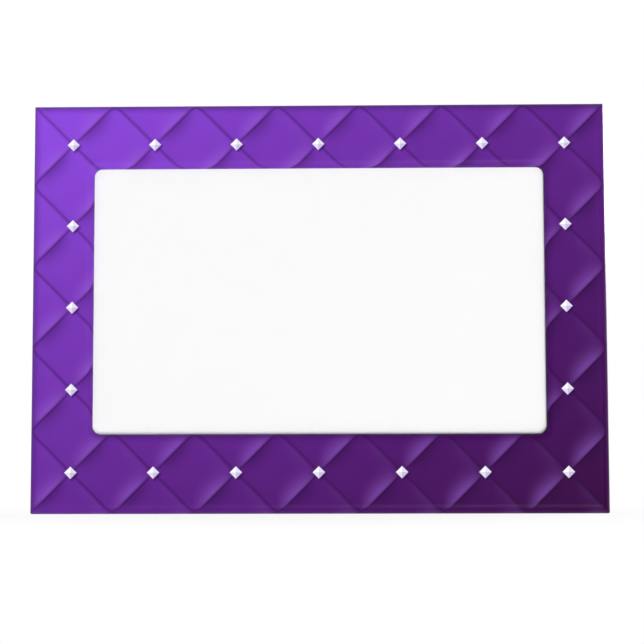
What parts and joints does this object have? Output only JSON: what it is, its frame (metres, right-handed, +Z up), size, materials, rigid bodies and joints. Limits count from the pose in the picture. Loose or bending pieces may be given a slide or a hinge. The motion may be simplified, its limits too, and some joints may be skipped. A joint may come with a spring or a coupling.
{
  "type": "magnetic photo frame",
  "caption": "Flat oblong photo frame with a printed gloss face and a rounded opening, loaded through a slot at its top edge and held against steel by magnets in its back.",
  "frame": {"origin": "middle of the rear face, on the plane that lies against the steel surface", "axes": "+X to the viewer's right along the long side, +Y to the rear, out of the face that lies against the steel, +Z up towards the slot's mouth"},
  "size_m": [0.1778, 0.0072, 0.127],
  "materials": {
    "printed_film": "gloss printed film, violet to plum",
    "white_moulding": "satin white moulding",
    "clear_sheet": "clear polished sheet",
    "white_card": "smooth white card",
    "foam_tape": "white foam tape",
    "black_moulding": "fine textured black moulding",
    "ferrite": "ground dark grey ferrite"
  },
  "bodies": {
    "frame": {"printed_wrap": "printed_film", "front_moulding": "white_moulding", "slot_strip_left": "foam_tape", "slot_strip_right": "foam_tape", "slot_strip_bottom": "foam_tape", "back_plate": "black_moulding", "magnet_upper_left": "ferrite", "magnet_upper_right": "ferrite", "magnet_lower_left": "ferrite", "magnet_lower_right": "ferrite", "magnet_pad_upper_left": "foam_tape", "magnet_pad_upper_right": "foam_tape", "magnet_pad_lower_left": "foam_tape", "magnet_pad_lower_right": "foam_tape"},
    "photo": {"photo_card": "white_card"},
    "cover": {"clear_cover": "clear_sheet"}
  },
  "joints": [
    {"name": "photo_slide", "type": "slide", "parent": "frame", "child": "photo", "axis": [0, 0, 1], "range_m": [0, 0.115]},
    {"name": "cover_slide", "type": "slide", "parent": "frame", "child": "cover", "axis": [0, 0, 1], "range_m": [0, 0.115]}
  ]
}
